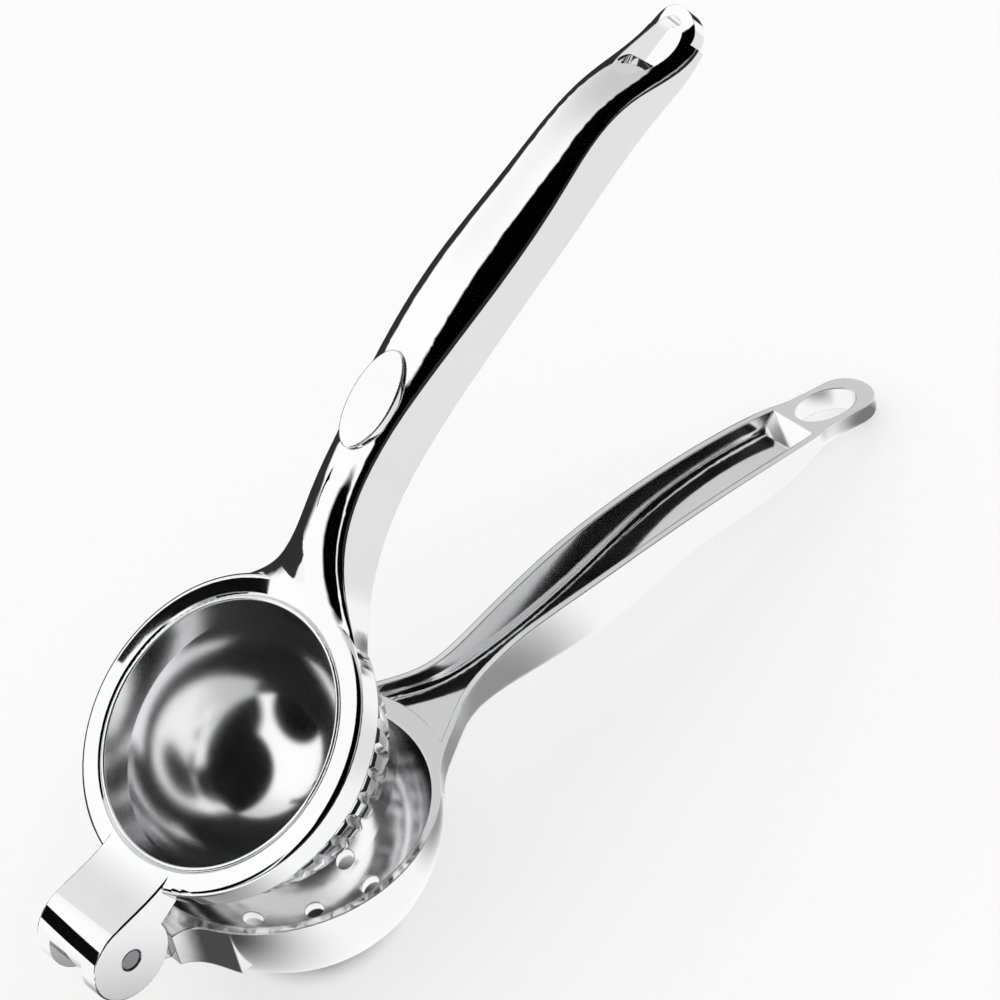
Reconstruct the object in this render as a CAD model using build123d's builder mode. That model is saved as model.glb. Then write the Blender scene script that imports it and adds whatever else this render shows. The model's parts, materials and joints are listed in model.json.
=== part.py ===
from build123d import *
import os
from math import asin, atan2, cos, degrees, hypot, radians, sin, tan

os.makedirs("parts", exist_ok=True)

# Main sizes, in millimetres and degrees
open_angle = 30.0
hinge_to_bowl = 46.7
bowl_handle_reach = 213.4
press_handle_reach = 216.2
overrun = 3.0

# Bowl, with its rim plane below the hinge axis
bowl_mouth_radius = 30.6
bowl_wall = 1.9
rim_drop = 3.75
drain_hole_radius = 2.0
drain_ring_radius = 12.5
drain_ring_count = 8
drain_ring_turn = 15.0

# Channel handle of the bowl arm
bowl_neck_angle = 37.0
bowl_neck_flat = 6.0
bowl_neck_depth = 7.0
bowl_handle_half_width = 8.5
bowl_handle_depth = 13.2
bowl_crest_drop = 0.4
bowl_crest_distance = 126.0
bowl_arch_start = 112.0
bowl_arch_radius = 295.0
channel_wall = 1.5
channel_rim_land = 2.6
channel_floor = 3.4
channel_round = 1.8
belly_round = 2.2
ramp_run = 4.0
ramp_land = 1.0

# Hanging eye at the end of the bowl arm
tip_length = 20.4
tip_thickness = 5.4
tip_radius = 6.2
eye_length = 15.8
eye_width = 9.4
eye_setback = 12.0
eye_pad_length = 19.0

# Hinge, around the pin
hinge_width = 18.6
ear_radius = 9.3
ear_thickness = 4.2
ear_round = 0.4
fork_top_angle = 18.0
fork_sink = 0.1
tongue_side_gap = 0.2
tongue_radius = 7.4
tongue_top_gap = 0.4
tongue_neck_half_width = 7.9
tongue_neck_gap = 1.1
tongue_neck_angle = 30.0
tongue_root_depth = 12.4
bridge_end_angle = 127.0
slot_open_angle = -20.0
press_neck_drop = 2.0
pin_radius = 2.5
pin_press_gap = 0.02
pin_running_gap = 0.05
pin_chamfer = 0.5
pin_end_drop = 0.2

# Press ring and its cup
ring_radius = 33.4
ring_thickness = 7.35
ring_top = 4.1
ring_round = 1.3
ring_mouth_radius = 28.5
ring_mouth_chamfer = 0.5
cup_collar_radius = 30.4
cup_collar_height = 3.8
cup_seat_gap = 0.05
cup_lip = 0.9
cup_lip_round = 0.4
cup_radius = 28.5
cup_wall = 1.6
rib_height = 1.3
rib_count = 36
rib_groove_width = 2.4
rib_start_angle = 3.0
rib_end_angle = 60.0
tooth_first_angle = 11.0
tooth_step_angle = 10.0
tooth_step_count = 5
tooth_groove_depth = 0.9
tooth_groove_angle = 1.7

# Press handle
press_half_width = 8.7
press_crest = 19.3
press_wall = 2.0
press_roof = 2.2
press_tip_radius = 5.8
press_tip_wall = 4.0
oval_eye_length = 16.6
oval_eye_width = 9.0
oval_eye_setback = 10.6
oval_eye_height = 10.0
oval_eye_ramp_angle = 50.0

# Badge on the press handle
badge_length = 21.4
badge_width = 11.0
badge_thickness = 2.0
badge_share = 0.334
badge_rise = 4.6
badge_seat_height = 17.25
badge_gap = 0.05
badge_round = 0.4

# Stations along the press handle, from the ring to the tip: distance as a share of that run,
# half width as a share of the widest, crown and wall foot as shares of the crest height,
# and the crown's own rise as a share of the half width
press_station_shares = (
    (0.008, 2.40, 0.212, -0.168, 0.02),
    (0.073, 1.39, 0.310, -0.168, 0.20),
    (0.129, 0.85, 0.570, -0.145, 0.42),
    (0.198, 0.69, 0.790, 0.015, 0.46),
    (0.281, 0.68, 0.922, 0.146, 0.48),
    (0.388, 0.82, 1.000, 0.245, 0.48),
    (0.527, 0.97, 0.990, 0.265, 0.50),
    (0.690, 0.87, 0.834, 0.130, 0.48),
    (0.854, 0.77, 0.560, -0.040, 0.42),
    (1.000, 0.66, 0.160, -0.070, 0.34),
)
hollow_first_station = 3

# Half outline of the bowl arm's handle from above, from the bowl's edge to the tip:
# distance as a share of that run, and half width as a share of the widest
bowl_outline_shares = (
    (0.045, 1.200),
    (0.075, 0.940),
    (0.110, 0.750),
    (0.160, 0.675),
    (0.330, 0.860),
    (0.560, 1.000),
    (0.850, 0.840),
)

# Underside of the bowl arm's handle, from the tip to the bowl's edge:
# distance as a share of that run, and depth as a share of the handle's depth
belly_shares = (
    (0.800, 1.076),
    (0.563, 0.894),
    (0.392, 1.045),
    (0.191, 0.924),
)

# Worked out sizes
bowl_radius = bowl_mouth_radius + bowl_wall
bowl_edge = hinge_to_bowl + bowl_radius
ring_bottom = ring_top - ring_thickness
slot_half_width = hinge_width / 2 - ear_thickness
tip_start = bowl_handle_reach - tip_length
arch_rise = asin((bowl_arch_start - bowl_crest_distance) / bowl_arch_radius)
tip_fall = asin((tip_start - bowl_crest_distance) / bowl_arch_radius)
tip_start_height = bowl_arch_radius * (cos(tip_fall) - 1) - bowl_crest_drop
tip_height = tip_start_height - tip_length * tan(tip_fall)
tip_foot = (
    bowl_handle_reach - tip_thickness * sin(tip_fall),
    tip_height - tip_thickness * cos(tip_fall),
)

# The part rests on the bowl and on the foot of the bowl arm's tip
foot_run = tip_foot[0] - hinge_to_bowl
foot_drop = -rim_drop - tip_foot[1]
rest_tilt = asin(bowl_radius / hypot(foot_run, foot_drop)) - atan2(foot_drop, foot_run)
hinge_height = bowl_radius + hinge_to_bowl * sin(rest_tilt) + rim_drop * cos(rest_tilt)
tip_forward = bowl_handle_reach * cos(rest_tilt) + tip_height * sin(rest_tilt)
hinge_back = (tip_forward - ear_radius) / 2

# Frames of the two arms: X runs from the hinge to the handle, Z up the bowl's axis
bowl_frame = Plane(
    (-hinge_back, 0, hinge_height),
    x_dir=(cos(rest_tilt), 0, -sin(rest_tilt)),
    z_dir=(sin(rest_tilt), 0, cos(rest_tilt)),
)
press_frame = bowl_frame.rotated((0, -open_angle, 0))


def side_of(frame):
    """The arm's middle plane, with X along the arm and Y up."""
    return Plane(frame.origin, x_dir=frame.x_dir, z_dir=-frame.y_dir)


def across(frame, distance):
    """A plane square to the arm at a distance from the hinge."""
    return Plane(frame.from_local_coords((distance, 0, 0)), x_dir=frame.y_dir, z_dir=frame.x_dir)


def sloped(frame, distance, height, fall):
    """A plane on the arm at a distance from the hinge, falling towards the tip."""
    origin = frame.from_local_coords((distance, 0, height))
    return Plane(origin, x_dir=frame.x_dir, z_dir=frame.z_dir).rotated((0, fall, 0))


def low_edges(all_edges):
    """The two long edges along the bottom of a handle's shape."""
    long_edges = all_edges.filter_by(lambda edge: edge.length > 2 * bowl_radius)
    side_edges = long_edges.filter_by(lambda edge: abs(edge.center().Y) > channel_wall)
    return side_edges.sort_by(Axis.Z)[:2]


bowl_side = side_of(bowl_frame)
press_side = side_of(press_frame)
bowl_axis = Axis(bowl_frame.from_local_coords((hinge_to_bowl, 0, 0)), bowl_frame.z_dir)
press_axis = Axis(press_frame.from_local_coords((hinge_to_bowl, 0, 0)), press_frame.z_dir)

# Outline of the bowl handle from above
neck_turn = radians(bowl_neck_angle)
neck_start = (hinge_to_bowl + bowl_radius * cos(neck_turn), bowl_radius * sin(neck_turn))
tip_side = (bowl_handle_reach - tip_radius, tip_radius)
outline_points = [
    neck_start,
    *[
        (bowl_edge + (bowl_handle_reach - bowl_edge) * run, bowl_handle_half_width * width)
        for run, width in bowl_outline_shares
    ],
    tip_side,
]


def bowl_outline(inset):
    """The bowl handle from above, its sides and tip moved in by an inset."""
    points = [(x, y - inset) for x, y in outline_points]
    with BuildSketch() as outline:
        with BuildLine():
            Line((neck_start[0], 0), points[0])
            Spline(points, tangents=[(sin(neck_turn), -cos(neck_turn)), (1, 0)])
            CenterArc((bowl_handle_reach - tip_radius, 0), tip_radius - inset, 90, -90)
            mirror(about=Plane.XZ)
        make_face()
    return outline.sketch


# Handle of the bowl arm: its outline from above cut to its profile from the side
neck_top = (bowl_edge + bowl_neck_flat, -rim_drop)
neck_foot = (bowl_edge, -rim_drop - bowl_neck_depth)
pad_foot = (tip_foot[0] - eye_pad_length * cos(tip_fall), tip_foot[1] + eye_pad_length * sin(tip_fall))
belly_points = [
    (bowl_edge + (bowl_handle_reach - bowl_edge) * run, -bowl_handle_depth * depth)
    for run, depth in belly_shares
]
arch_centre = (bowl_crest_distance, -bowl_crest_drop - bowl_arch_radius)
arch_start_angle = 90 - degrees(arch_rise)
arch_size = degrees(arch_rise - tip_fall)
with BuildPart() as bowl_handle:
    with BuildSketch(bowl_frame):
        add(bowl_outline(0))
    extrude(amount=bowl_handle_reach, both=True)
    with BuildSketch(bowl_side):
        with BuildLine():
            arch = CenterArc(arch_centre, bowl_arch_radius, arch_start_angle, arch_size)
            Spline([neck_top, arch @ 0], tangents=[(1, 0), arch % 0])
            Line(arch @ 1, (bowl_handle_reach, tip_height))
            Line((bowl_handle_reach, tip_height), tip_foot)
            Line(tip_foot, pad_foot)
            Spline([pad_foot, *belly_points, neck_foot], tangents=[-(arch % 1), (-1, 0)])
            Line(neck_foot, (hinge_to_bowl, neck_foot[1]))
            Line((hinge_to_bowl, neck_foot[1]), (hinge_to_bowl, -rim_drop))
            Line((hinge_to_bowl, -rim_drop), neck_top)
        make_face()
    extrude(amount=bowl_radius, both=True, mode=Mode.INTERSECT)
    fillet(low_edges(edges()), belly_round)

# Space of the channel in that handle
ramp_top = tip_start - ramp_land
ramp_top_height = tip_start_height + ramp_land * tan(tip_fall)
ramp_foot = (ramp_top - ramp_run, ramp_top_height - ramp_run)
floor_points = [(x, z + channel_floor) for x, z in reversed(belly_points[1:])]
channel_start = (hinge_to_bowl, neck_foot[1] + channel_floor)
floor_tangents = [(1, 0), (cos(tip_fall), -sin(tip_fall))]
with BuildPart() as channel:
    with BuildSketch(bowl_frame):
        add(bowl_outline(channel_wall))
        with Locations((hinge_to_bowl, 0)):
            Circle(bowl_radius + channel_rim_land, mode=Mode.SUBTRACT)
    extrude(amount=bowl_handle_reach, both=True)
    with BuildSketch(bowl_side):
        with BuildLine():
            Spline([channel_start, *floor_points, ramp_foot], tangents=floor_tangents)
            Polyline(
                ramp_foot,
                (ramp_top + ramp_run, ramp_top_height + ramp_run),
                (ramp_top + ramp_run, bowl_radius),
                (hinge_to_bowl, bowl_radius),
                channel_start,
            )
        make_face()
    extrude(amount=bowl_radius, both=True, mode=Mode.INTERSECT)
    fillet(low_edges(edges()), channel_round)

# Hinge tongue of the bowl arm and the flared neck that carries it
tongue_half_width = slot_half_width - tongue_side_gap
tongue_turn = radians(tongue_neck_angle)
tongue_root = (hinge_to_bowl - bowl_radius * cos(tongue_turn), bowl_radius * sin(tongue_turn))
tongue_neck = (ear_radius + tongue_neck_gap, tongue_neck_half_width)
with BuildPart() as tongue:
    with BuildSketch(bowl_frame):
        with BuildLine():
            Polyline(
                (-tongue_radius, 0),
                (-tongue_radius, tongue_half_width),
                (tongue_neck[0], tongue_half_width),
                tongue_neck,
            )
            Spline([tongue_neck, tongue_root], tangents=[(1, 0), (sin(tongue_turn), cos(tongue_turn))])
            Polyline(tongue_root, (hinge_to_bowl, tongue_root[1]), (hinge_to_bowl, 0))
            mirror(about=Plane.XZ)
        make_face()
    extrude(amount=bowl_radius, both=True)
    with BuildSketch(bowl_side):
        Circle(tongue_radius)
        with BuildLine():
            Polyline(
                (0, -rim_drop),
                (hinge_to_bowl, -rim_drop),
                (hinge_to_bowl, -rim_drop - tongue_root_depth),
                (tongue_root[0], -rim_drop - tongue_root_depth),
                (0, -tongue_radius * cos(tongue_turn)),
                close=True,
            )
        make_face()
    extrude(amount=bowl_radius, both=True, mode=Mode.INTERSECT)

# Bowl arm: bowl, handle and tongue in one casting
eye_distance = bowl_handle_reach - eye_setback
eye_height = tip_height + eye_setback * tan(tip_fall)
with BuildPart() as bowl_arm:
    with BuildSketch(bowl_side):
        with BuildLine():
            Line((hinge_to_bowl, -rim_drop - bowl_radius), (hinge_to_bowl, -rim_drop))
            Line((hinge_to_bowl, -rim_drop), (bowl_edge, -rim_drop))
            CenterArc((hinge_to_bowl, -rim_drop), bowl_radius, 0, -90)
        make_face()
    revolve(axis=bowl_axis)
    add(bowl_handle.part)
    add(tongue.part)
    with BuildSketch(bowl_side):
        with BuildLine():
            CenterArc((hinge_to_bowl, -rim_drop), bowl_mouth_radius, 0, -90)
            Polyline(
                (hinge_to_bowl, -rim_drop - bowl_mouth_radius),
                (hinge_to_bowl, overrun),
                (hinge_to_bowl + bowl_mouth_radius, overrun),
                (hinge_to_bowl + bowl_mouth_radius, -rim_drop),
            )
        make_face()
    revolve(axis=bowl_axis, mode=Mode.SUBTRACT)
    add(channel.part, mode=Mode.SUBTRACT)
    with BuildSketch(bowl_frame.offset(-rim_drop - bowl_radius - overrun)):
        with Locations((hinge_to_bowl, 0)):
            Circle(drain_hole_radius)
            with PolarLocations(drain_ring_radius, drain_ring_count, drain_ring_turn):
                Circle(drain_hole_radius)
    extrude(amount=bowl_radius, mode=Mode.SUBTRACT)
    with BuildSketch(bowl_side):
        Circle(pin_radius + pin_running_gap)
    extrude(amount=hinge_width, both=True, mode=Mode.SUBTRACT)
    with BuildSketch(sloped(bowl_frame, eye_distance, eye_height, degrees(tip_fall))):
        Ellipse(eye_length / 2, eye_width / 2)
    extrude(amount=bowl_handle_depth, both=True, mode=Mode.SUBTRACT)

# Handle of the press arm, lofted through its stations
press_root = hinge_to_bowl + ring_mouth_radius - 2 * overrun
press_run = press_handle_reach - press_root
press_stations = [
    (
        press_root + press_run * run,
        press_half_width * width,
        press_crest * crown,
        press_crest * foot,
        press_half_width * width * rise,
    )
    for run, width, crown, foot, rise in press_station_shares
]
press_tip_start = press_handle_reach - press_tip_radius
with BuildPart() as press_handle:
    for distance, half_width, crown, foot, rise in press_stations:
        edge = (half_width, crown - rise)
        with BuildSketch(across(press_frame, distance)):
            with BuildLine():
                Polyline(edge, (half_width, foot), (-half_width, foot), (-edge[0], edge[1]))
                EllipticalCenterArc((0, edge[1]), half_width, rise, 0, arc_size=180)
            make_face()
    loft()
    with BuildSketch(press_frame):
        with Locations((press_tip_start, 0)):
            Circle(press_tip_radius)
            Rectangle(press_tip_start - hinge_to_bowl, 2 * bowl_radius, align=(Align.MAX, Align.CENTER))
    extrude(amount=bowl_radius, both=True, mode=Mode.INTERSECT)

# Hollow under that handle, closed at the tip
hollow_end = press_handle_reach - press_tip_wall
with BuildPart() as press_hollow:
    for distance, half_width, crown, foot, rise in press_stations[hollow_first_station:]:
        with BuildSketch(across(press_frame, min(distance, hollow_end))):
            with Locations((0, crown - rise - press_roof)):
                roof_height = crown - rise - press_roof - foot + overrun
                Rectangle(2 * (half_width - press_wall), roof_height, align=(Align.CENTER, Align.MAX))
    loft()

# Oval eye at the end of the press handle, with a ramp at its neck end
oval_eye_distance = press_handle_reach - oval_eye_setback
eye_neck_end = oval_eye_distance - oval_eye_length / 2
eye_ramp_run = press_crest / tan(radians(oval_eye_ramp_angle))
with BuildPart() as oval_eye:
    with BuildSketch(press_frame):
        with Locations((oval_eye_distance, 0)):
            Ellipse(oval_eye_length / 2, oval_eye_width / 2)
    extrude(amount=press_crest, both=True)
    with BuildSketch(press_side):
        with BuildLine():
            Polyline(
                (eye_neck_end, oval_eye_height),
                (eye_neck_end + eye_ramp_run, oval_eye_height - press_crest),
                (press_handle_reach, oval_eye_height - press_crest),
                (press_handle_reach, press_crest),
                (eye_neck_end, press_crest),
                close=True,
            )
        make_face()
    extrude(amount=oval_eye_width, both=True, mode=Mode.INTERSECT)

# Hinge fork of the press arm, its top running down into the ring
fork_turn = radians(fork_top_angle)
fork_crest = (ear_radius * sin(fork_turn), ear_radius * cos(fork_turn))
fork_root = hinge_to_bowl - ring_mouth_radius + overrun
fork_end = (fork_root, ring_top - fork_sink)
with BuildPart() as fork:
    with BuildSketch(press_side):
        Circle(ear_radius)
        with BuildLine():
            Spline([fork_crest, fork_end], tangents=[(cos(fork_turn), -sin(fork_turn)), (1, 0)])
            Polyline(
                fork_end,
                (fork_root, -press_neck_drop),
                (0, -press_neck_drop),
                (0, 0),
                fork_crest,
            )
        make_face()
    extrude(amount=hinge_width / 2, both=True)
    ears = faces().sort_by(Axis.Y)
    fillet(ears[0].edges() + ears[-1].edges(), ear_round)

# Press arm: fork, ring and handle in one casting
badge_distance = press_root + press_run * badge_share
badge_seat = sloped(press_frame, badge_distance, badge_seat_height, -badge_rise)
bridge_turn = radians(bridge_end_angle)
slot_turn = radians(slot_open_angle)
with BuildPart() as press_arm:
    with BuildSketch(press_side):
        with Locations((hinge_to_bowl, ring_bottom)):
            Rectangle(ring_radius, ring_thickness, align=Align.MIN)
        fillet(vertices().group_by(Axis.X)[-1], ring_round)
    revolve(axis=press_axis)
    add(press_handle.part)
    add(fork.part)
    with BuildSketch(press_side):
        Circle(tongue_radius + tongue_top_gap)
        with BuildLine():
            Polyline(
                (0, 0),
                (hinge_to_bowl * cos(bridge_turn), hinge_to_bowl * sin(bridge_turn)),
                (-hinge_to_bowl, -hinge_to_bowl),
                (hinge_to_bowl * cos(slot_turn), -hinge_to_bowl),
                (hinge_to_bowl * cos(slot_turn), hinge_to_bowl * sin(slot_turn)),
                close=True,
            )
        make_face()
    extrude(amount=slot_half_width, both=True, mode=Mode.SUBTRACT)
    with BuildSketch(press_side):
        Circle(pin_radius + pin_press_gap)
    extrude(amount=hinge_width, both=True, mode=Mode.SUBTRACT)
    with BuildSketch(press_side):
        with BuildLine():
            Polyline(
                (hinge_to_bowl, ring_bottom - overrun),
                (hinge_to_bowl + cup_collar_radius, ring_bottom - overrun),
                (hinge_to_bowl + cup_collar_radius, ring_bottom + cup_collar_height),
                (hinge_to_bowl + ring_mouth_radius, ring_bottom + cup_collar_height),
                (hinge_to_bowl + ring_mouth_radius, ring_top - ring_mouth_chamfer),
                (hinge_to_bowl + ring_mouth_radius + ring_mouth_chamfer, ring_top),
                (hinge_to_bowl + ring_mouth_radius + ring_mouth_chamfer, ring_top + overrun),
                (hinge_to_bowl, ring_top + overrun),
                close=True,
            )
        make_face()
    revolve(axis=press_axis, mode=Mode.SUBTRACT)
    add(press_hollow.part, mode=Mode.SUBTRACT)
    add(oval_eye.part, mode=Mode.SUBTRACT)
    with BuildSketch(badge_seat):
        Ellipse(badge_length / 2 + badge_gap, badge_width / 2 + badge_gap)
    extrude(amount=badge_thickness, mode=Mode.SUBTRACT)


def on_dome(radius, angle):
    """A point in the press arm's middle plane, at an angle below the cup's mouth."""
    turn = radians(angle)
    return (hinge_to_bowl + radius * cos(turn), ring_bottom - radius * sin(turn))


# One groove between two ribs of the cup, running down to its foot
dome_radius = cup_radius + rib_height
rib_axis = Axis(press_frame.from_local_coords((hinge_to_bowl, 0, ring_bottom)), press_frame.y_dir)
groove_half_width = rib_groove_width / 2 * (rib_height + cup_lip) / rib_height
with BuildPart() as rib_groove:
    with BuildSketch(press_frame.offset(ring_bottom)):
        with BuildLine():
            Polyline(
                (hinge_to_bowl + cup_radius, 0),
                (hinge_to_bowl + dome_radius + cup_lip, groove_half_width),
                (hinge_to_bowl + dome_radius + cup_lip, -groove_half_width),
                close=True,
            )
        make_face()
    revolve(axis=rib_axis, revolution_arc=rib_end_angle - rib_start_angle)
grooves = [
    rib_groove.part.rotate(rib_axis, rib_start_angle).rotate(press_axis, 360 * rib / rib_count)
    for rib in range(rib_count)
]

# Press cup: a lipped shell, ribbed and notched outside, whose collar seats under the ring
cup_inside = cup_radius - cup_wall
cup_neck = ring_mouth_radius - cup_seat_gap
cup_collar = cup_collar_radius - cup_seat_gap
with BuildPart() as press_cup:
    with BuildSketch(press_side):
        with BuildLine():
            CenterArc((hinge_to_bowl, ring_bottom), dome_radius, -90, 90)
            Polyline(
                (hinge_to_bowl + dome_radius, ring_bottom),
                (hinge_to_bowl + cup_collar, ring_bottom),
                (hinge_to_bowl + cup_collar, ring_bottom + cup_collar_height),
                (hinge_to_bowl + cup_neck, ring_bottom + cup_collar_height),
                (hinge_to_bowl + cup_neck, ring_top),
                (hinge_to_bowl + cup_neck - cup_lip, ring_top),
                (hinge_to_bowl + cup_inside, ring_bottom),
            )
            CenterArc((hinge_to_bowl, ring_bottom), cup_inside, 0, -90)
            Line((hinge_to_bowl, ring_bottom - cup_inside), (hinge_to_bowl, ring_bottom - dome_radius))
        make_face()
        fillet(vertices().group_by(Axis.Y)[-1], cup_lip_round)
    revolve(axis=press_axis)
    add(grooves, mode=Mode.SUBTRACT)
    with BuildSketch(press_side):
        for step in range(tooth_step_count):
            angle = tooth_first_angle + step * tooth_step_angle
            with BuildLine():
                Polyline(
                    on_dome(dome_radius - tooth_groove_depth, angle),
                    on_dome(dome_radius + tooth_groove_depth, angle - 2 * tooth_groove_angle),
                    on_dome(dome_radius + tooth_groove_depth, angle + 2 * tooth_groove_angle),
                    close=True,
                )
            make_face()
    revolve(axis=press_axis, mode=Mode.SUBTRACT)

# Hinge pin, pressed into the ears
with BuildPart() as hinge_pin:
    with BuildSketch(press_side):
        Circle(pin_radius)
    extrude(amount=hinge_width / 2 - pin_end_drop, both=True)
    chamfer(edges().filter_by(GeomType.CIRCLE), pin_chamfer)

# Badge, a plain oval plate let into the handle's crown
with BuildPart() as badge:
    with BuildSketch(badge_seat):
        Ellipse(badge_length / 2, badge_width / 2)
    extrude(amount=badge_thickness)
    fillet(faces().sort_by(Axis.Z)[-1].edges(), badge_round)

bowl_arm.part.label = "bowl_arm"
export_step(bowl_arm.part, "parts/bowl_arm.step")
press_arm.part.label = "press_arm"
export_step(press_arm.part, "parts/press_arm.step")
press_cup.part.label = "press_cup"
export_step(press_cup.part, "parts/press_cup.step")
hinge_pin.part.label = "hinge_pin"
export_step(hinge_pin.part, "parts/hinge_pin.step")
badge.part.label = "badge"
export_step(badge.part, "parts/badge.step")
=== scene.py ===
import json
import math

import bpy
from mathutils import Matrix, Vector

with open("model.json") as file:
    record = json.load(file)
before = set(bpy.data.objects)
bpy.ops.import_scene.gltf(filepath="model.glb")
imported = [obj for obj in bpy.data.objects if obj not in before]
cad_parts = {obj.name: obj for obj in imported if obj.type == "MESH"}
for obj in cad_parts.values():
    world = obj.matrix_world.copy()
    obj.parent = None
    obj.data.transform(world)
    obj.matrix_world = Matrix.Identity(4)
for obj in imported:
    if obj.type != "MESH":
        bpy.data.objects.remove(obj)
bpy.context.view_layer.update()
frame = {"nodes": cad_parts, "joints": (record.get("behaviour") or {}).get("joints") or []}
scene = bpy.context.scene
nodes = frame["nodes"]

# Pose and places of the CAD, in degrees and metres: at rest the part leans back on its bowl
rest_tilt = 6.3187
open_angle = 30.0
hinge_to_bowl = 0.0467
rim_drop = 0.00375
bowl_mouth_radius = 0.0306
hinge = Vector(frame["joints"][0]["pos_m"])
lower_arm = Matrix.Rotation(math.radians(rest_tilt), 3, "Y")
press_lever = Matrix.Rotation(math.radians(rest_tilt) - math.radians(open_angle), 3, "Y")
bowl_centre = hinge + lower_arm @ Vector((hinge_to_bowl, 0.0, -rim_drop))

# Camera, fitted to the photo, in the lower arm's frame with the hinge as origin
camera_right = (0.7261, -0.6621, -0.1857)
camera_up = (0.5658, 0.4218, 0.7085)
camera_place = (-0.28495, -0.63495, 0.7275)
camera_sensor = 36.0
camera_lens = 182.5
camera_clip = (0.01, 20.0)

# Sky that the metal sees: white, with dark flags
# (azimuth, elevation, outer half angle, inner half angle, depth)
sky_light = 1.06
sky_flags = (
    (-72, 56, 44, 40, 1.0),
    (180, 22, 26, 20, 1.0),
    (-105, 18, 42, 34, 1.0),
    (-70, 10, 62, 40, 0.6),
    (25, 35, 60, 20, 0.4),
)
horizon_cone = (85, 0, 46, 36)
horizon_heights = (0.28, 0.20)
horizon_depth = 0.97

# Floor: a pale sheet, with a painted shadow under the bowl
floor_reach = 6.0
floor_paper = (0.95, 0.95, 0.95, 1.0)
floor_shadow = (0.1, 0.1, 0.1, 1.0)
floor_glow_share = 0.5
painted_shadow_under_bowl = ((-0.057, 0.0, 0.0), 0.010, 0.020)

# Painted shade on the floor that the metal sees: darker strips (start and end) and spots (centre, inner
# radius, outer radius, depth)
back_across = (0.062, 0.080)
back_corner = (-0.085, -0.045)
back_shade_depth = 0.97
front_across = (-0.045, -0.080)
front_along = (-0.02, 0.03)
front_shade_depth = 0.18
near_across = (-0.134, -0.150)
near_shade_depth = 0.97
floor_shade_spots = (
    ((-0.003, -0.025, 0.0), 0.012, 0.034, 0.7),
    ((-0.122, -0.008, 0.0), 0.008, 0.065, 0.93),
    ((0.106, -0.008, 0.0), 0.003, 0.010, 0.8),
)

# Black studio cards: one stands off the back of the fork, and one curves over the far side of
# the press ring, in the press lever's frame at rest
card_black = (0.004, 0.004, 0.004, 1.0)
hinge_card_from = (-0.0053, 0.0, 0.0046)
hinge_card_direction = (137, 17)
hinge_card_distance = 0.04
hinge_card_corners = ((-0.024, 0.008), (0.022, -0.012), (0.022, 0.016), (-0.024, 0.017))
ring_card_height = 0.0641
ring_card_outline = (
    (-0.0055, 0.0824), (0.0020, 0.0810), (0.0061, 0.0790), (0.0087, 0.0773), (0.0080, 0.0755),
    (0.0129, 0.0733), (0.0182, 0.0684), (0.0226, 0.0610), (0.0240, 0.0580), (0.0310, 0.0620),
    (0.0278, 0.0695), (0.0215, 0.0775), (0.0137, 0.0835), (0.0040, 0.0880), (-0.0060, 0.0890),
)

# Metals: colour, least and most roughness, edge break, grain and depth of the polishing marks,
# and the roughness that sheltered places and the bowl's inside have on top
chrome = (0.93, 0.93, 0.935, 1.0)
steel = (0.3, 0.3, 0.31, 1.0)
finishes = {
    "press_arm": ("press_chrome", chrome, 0.02, 0.05, 0.00015, 40.0, 0.004, 0.0, 0.0),
    "bowl_arm": ("bowl_chrome", chrome, 0.03, 0.07, 0.0005, 40.0, 0.004, 0.08, 0.08),
    "press_cup": ("cup_chrome", chrome, 0.12, 0.17, 0.00015, 60.0, 0.004, 0.08, 0.0),
    "badge": ("badge_chrome", chrome, 0.02, 0.05, 0.0004, 80.0, 0.003, 0.0, 0.0),
    "hinge_pin": ("pin_steel", steel, 0.12, 0.25, 0.0003, 200.0, 0.02, 0.0, 0.0),
}
rough_range = (0.3, 0.7)
dull_range = (0.35, 0.75)
dull_share = 0.97
grain_detail = 4.0
shelter_samples = 8
shelter_reach = 0.015
shelter_range = (0.85, 0.45)
inside_margins = (0.0004, 0.0012)
edge_samples = 6
mark_scale = 900.0
mark_detail = 2.0
mark_height = 0.0002


def direction(azimuth, elevation):
    """A unit vector from angles in degrees."""
    turn, rise = math.radians(azimuth), math.radians(elevation)
    return (math.cos(rise) * math.cos(turn), math.cos(rise) * math.sin(turn), math.sin(rise))


# Small helpers for node trees
def link_or_set(tree, socket, value):
    if isinstance(value, bpy.types.NodeSocket):
        tree.links.new(value, socket)
    else:
        socket.default_value = value


def calc(tree, operation, first, second):
    made = tree.nodes.new("ShaderNodeMath")
    made.operation = operation
    link_or_set(tree, made.inputs[0], first)
    link_or_set(tree, made.inputs[1], second)
    return made.outputs[0]


def ramp(tree, value, limits, low=0.0, high=1.0):
    """A smooth step from low to high as the value goes from the first limit to the second."""
    made = tree.nodes.new("ShaderNodeMapRange")
    made.interpolation_type = "SMOOTHSTEP"
    made.inputs["From Min"].default_value, made.inputs["From Max"].default_value = limits
    made.inputs["To Min"].default_value = low
    made.inputs["To Max"].default_value = high
    tree.links.new(value, made.inputs["Value"])
    return made.outputs["Result"]


def dot(tree, vector, axis):
    made = tree.nodes.new("ShaderNodeVectorMath")
    made.operation = "DOT_PRODUCT"
    tree.links.new(vector, made.inputs[0])
    made.inputs[1].default_value = axis
    return made.outputs["Value"]


def spot(tree, place, centre, inner, outer):
    """One round a point, falling to nothing between two distances from it."""
    reach = tree.nodes.new("ShaderNodeVectorMath")
    reach.operation = "DISTANCE"
    tree.links.new(place, reach.inputs[0])
    reach.inputs[1].default_value = centre
    return ramp(tree, reach.outputs["Value"], (outer, inner))


def cone(tree, view, azimuth, elevation, outer, inner):
    """One inside a cone of directions, falling to nothing between its two half angles."""
    along = dot(tree, view, direction(azimuth, elevation))
    return ramp(tree, along, (math.cos(math.radians(outer)), math.cos(math.radians(inner))))


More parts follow.
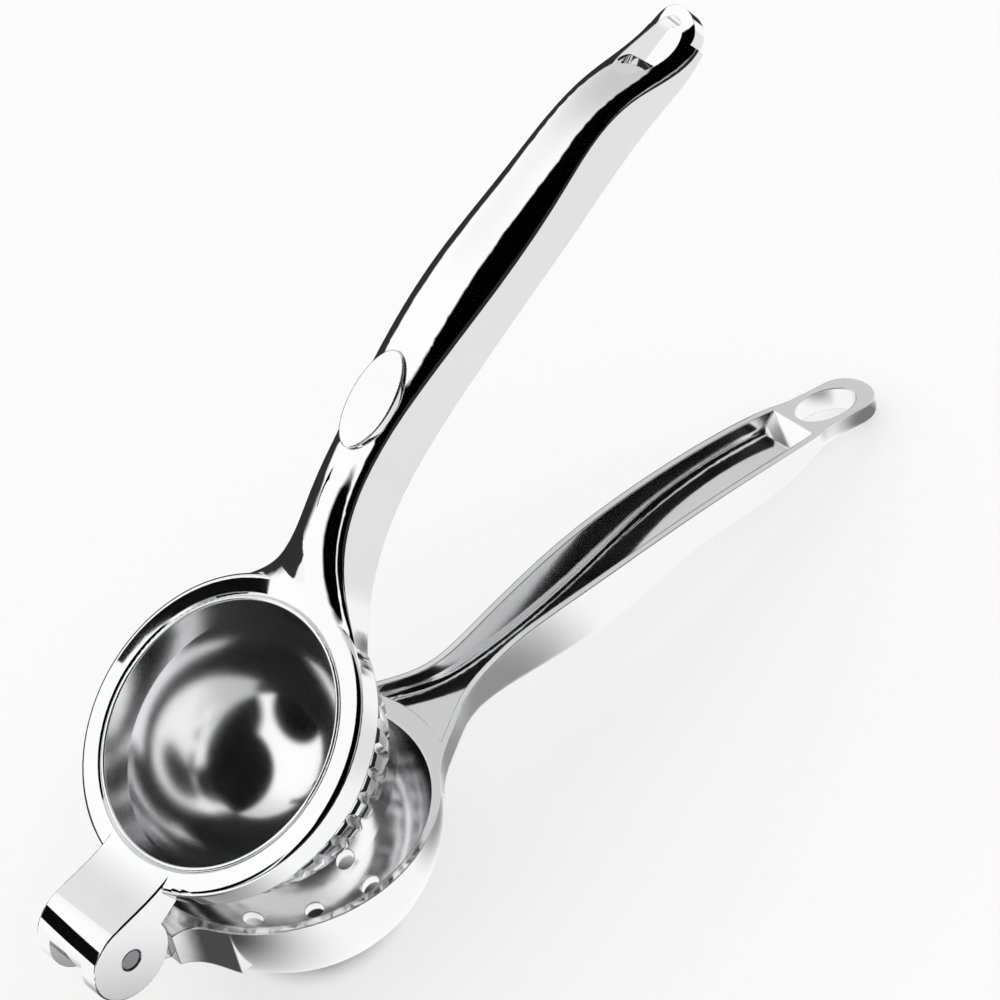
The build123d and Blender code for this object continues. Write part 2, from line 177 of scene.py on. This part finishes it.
def shade(tree, light, flags):
    """The light, less each flag's share of it."""
    for flag, depth in flags:
        keep = calc(tree, "SUBTRACT", 1.0, calc(tree, "MULTIPLY", flag, depth))
        light = calc(tree, "MULTIPLY", light, keep)
    return light


def mix_colour(tree, factor, first, second):
    made = tree.nodes.new("ShaderNodeMix")
    made.data_type = "RGBA"
    tree.links.new(factor, made.inputs["Factor"])
    made.inputs[6].default_value = first
    made.inputs[7].default_value = second
    return made.outputs[2]


def for_metal(tree, is_glossy, light):
    """Plain light for all rays but the metal's own."""
    made = tree.nodes.new("ShaderNodeMix")
    tree.links.new(is_glossy, made.inputs["Factor"])
    made.inputs[2].default_value = 1.0
    tree.links.new(light, made.inputs[3])
    return made.outputs[0]


def add_camera():
    right = (lower_arm @ Vector(camera_right)).normalized()
    up = lower_arm @ Vector(camera_up)
    back = right.cross(up).normalized()
    up = back.cross(right)
    data = bpy.data.cameras.new("photo_camera")
    data.sensor_width = camera_sensor
    data.lens = camera_lens
    data.clip_start, data.clip_end = camera_clip
    camera = bpy.data.objects.new("photo_camera", data)
    place = hinge + lower_arm @ Vector(camera_place)
    turn = Matrix((right, up, back)).transposed().to_4x4()
    camera.matrix_world = Matrix.Translation(place) @ turn
    scene.collection.objects.link(camera)
    scene.camera = camera


# World: plain white light, and for the metal a studio with white screens and dark flags between
def add_world():
    world = bpy.data.worlds.new("studio")
    scene.world = world
    world.use_nodes = True
    tree = world.node_tree
    tree.nodes.clear()
    view = tree.nodes.new("ShaderNodeTexCoord").outputs["Generated"]
    is_glossy = tree.nodes.new("ShaderNodeLightPath").outputs["Is Glossy Ray"]
    flags = [(cone(tree, view, *place), depth) for *place, depth in sky_flags]
    low = ramp(tree, dot(tree, view, (0.0, 0.0, 1.0)), horizon_heights)
    flags.append((calc(tree, "MULTIPLY", low, cone(tree, view, *horizon_cone)), horizon_depth))
    light = for_metal(tree, is_glossy, shade(tree, sky_light, flags))
    background = tree.nodes.new("ShaderNodeBackground")
    background.inputs["Color"].default_value = (1.0, 1.0, 1.0, 1.0)
    tree.links.new(light, background.inputs["Strength"])
    output = tree.nodes.new("ShaderNodeOutputWorld")
    tree.links.new(background.outputs[0], output.inputs["Surface"])


# Plain pale floor, which the metal sees as a glowing sheet with painted shade round the object
def floor_material():
    material = bpy.data.materials.new("floor_white")
    material.use_nodes = True
    tree = material.node_tree
    tree.nodes.clear()
    place = tree.nodes.new("ShaderNodeTexCoord").outputs["Object"]
    is_glossy = tree.nodes.new("ShaderNodeLightPath").outputs["Is Glossy Ray"]
    along = dot(tree, place, (1.0, 0.0, 0.0))
    across = dot(tree, place, (0.0, 1.0, 0.0))
    corner = dot(tree, place, (1.0, 1.0, 0.0))
    back = calc(tree, "MULTIPLY", ramp(tree, across, back_across), ramp(tree, corner, back_corner))
    front = calc(tree, "MULTIPLY", ramp(tree, across, front_across), ramp(tree, along, front_along))
    # Painted shade: darker strips and spots on the floor's glow, seen only in the metal
    flags = [(back, back_shade_depth), (front, front_shade_depth), (ramp(tree, across, near_across), near_shade_depth)]
    flags += [(spot(tree, place, *where), depth) for *where, depth in floor_shade_spots]
    glow = tree.nodes.new("ShaderNodeEmission")
    tree.links.new(for_metal(tree, is_glossy, shade(tree, 1.0, flags)), glow.inputs["Strength"])
    # Painted shadow round the bowl's contact: the floor's colour darkens there, and its glow gives way
    # to the paper, except in the metal
    painted_shadow = spot(tree, place, *painted_shadow_under_bowl)
    paper = tree.nodes.new("ShaderNodeBsdfDiffuse")
    tree.links.new(mix_colour(tree, painted_shadow, floor_paper, floor_shadow), paper.inputs["Color"])
    plain = shade(tree, floor_glow_share, [(painted_shadow, 1.0)])
    share = tree.nodes.new("ShaderNodeMixShader")
    tree.links.new(calc(tree, "MAXIMUM", is_glossy, plain), share.inputs[0])
    tree.links.new(paper.outputs[0], share.inputs[1])
    tree.links.new(glow.outputs[0], share.inputs[2])
    output = tree.nodes.new("ShaderNodeOutputMaterial")
    tree.links.new(share.outputs[0], output.inputs["Surface"])
    return material


def add_sheet(name, corners, material):
    mesh = bpy.data.meshes.new(name)
    mesh.from_pydata(corners, [], [tuple(range(len(corners)))])
    mesh.materials.append(material)
    sheet = bpy.data.objects.new(name, mesh)
    scene.collection.objects.link(sheet)
    return sheet


def add_floor():
    signs = ((-1, -1), (1, -1), (1, 1), (-1, 1))
    corners = [(x * floor_reach, y * floor_reach, 0.0) for x, y in signs]
    floor = add_sheet("floor", corners, floor_material())


# Black studio cards, seen only in the metal
def add_card(name, corners):
    material = bpy.data.materials.new(name)
    material.use_nodes = True
    shader = material.node_tree.nodes["Principled BSDF"]
    shader.inputs["Base Color"].default_value = card_black
    shader.inputs["Roughness"].default_value = 1.0
    shader.inputs["Specular IOR Level"].default_value = 0.0
    card = add_sheet(name, corners, material)
    card.visible_camera = False
    card.visible_diffuse = False
    card.visible_transmission = False
    card.visible_shadow = False


def add_cards():
    towards = Vector(direction(*hinge_card_direction))
    side = Vector((-towards.y, towards.x, 0.0)).normalized()
    rise = towards.cross(side)
    middle = hinge + Vector(hinge_card_from) + towards * hinge_card_distance
    add_card("hinge_card", [middle + side * across + rise * up for across, up in hinge_card_corners])
    ring_places = [Vector((hinge_to_bowl + x, y, ring_card_height)) for x, y in ring_card_outline]
    add_card("ring_card", [hinge + press_lever @ place for place in ring_places])


# Polished metal: mirror bright, with faint polishing marks and a soft break at every edge
def metal(name, colour, rough_low, rough_high, edge, grain, marks, shelter, inside):
    material = bpy.data.materials.new(name)
    material.use_nodes = True
    tree = material.node_tree
    shader = tree.nodes["Principled BSDF"]
    shader.inputs["Metallic"].default_value = 1.0
    place = tree.nodes.new("ShaderNodeTexCoord").outputs["Object"]
    cloud = tree.nodes.new("ShaderNodeTexNoise")
    cloud.inputs["Scale"].default_value = grain
    cloud.inputs["Detail"].default_value = grain_detail
    tree.links.new(place, cloud.inputs["Vector"])
    rough = ramp(tree, cloud.outputs["Fac"], rough_range, rough_low, rough_high)
    if shelter:
        open_sky = tree.nodes.new("ShaderNodeAmbientOcclusion")
        open_sky.samples = shelter_samples
        open_sky.inputs["Distance"].default_value = shelter_reach
        rough = calc(tree, "ADD", rough, ramp(tree, open_sky.outputs["AO"], shelter_range, 0.0, shelter))
    if inside:
        limits = [bowl_mouth_radius + margin for margin in inside_margins]
        in_bowl = spot(tree, place, bowl_centre, *limits)
        rough = calc(tree, "ADD", rough, calc(tree, "MULTIPLY", in_bowl, inside))
    tree.links.new(rough, shader.inputs["Roughness"])
    dull = tuple(channel * dull_share for channel in colour[:3]) + (1.0,)
    tint = mix_colour(tree, ramp(tree, cloud.outputs["Fac"], dull_range), colour, dull)
    tree.links.new(tint, shader.inputs["Base Color"])
    bevel = tree.nodes.new("ShaderNodeBevel")
    bevel.samples = edge_samples
    bevel.inputs["Radius"].default_value = edge
    fine = tree.nodes.new("ShaderNodeTexNoise")
    fine.inputs["Scale"].default_value = mark_scale
    fine.inputs["Detail"].default_value = mark_detail
    tree.links.new(place, fine.inputs["Vector"])
    bump = tree.nodes.new("ShaderNodeBump")
    bump.inputs["Strength"].default_value = marks
    bump.inputs["Distance"].default_value = mark_height
    tree.links.new(fine.outputs["Fac"], bump.inputs["Height"])
    tree.links.new(bevel.outputs["Normal"], bump.inputs["Normal"])
    tree.links.new(bump.outputs["Normal"], shader.inputs["Normal"])
    return material


def dress(name, material):
    mesh = nodes[name].data
    mesh.materials.clear()
    mesh.materials.append(material)


add_camera()
add_world()
add_floor()
add_cards()
for node_name, finish in finishes.items():
    dress(node_name, metal(*finish))
scene.view_settings.view_transform = "Standard"
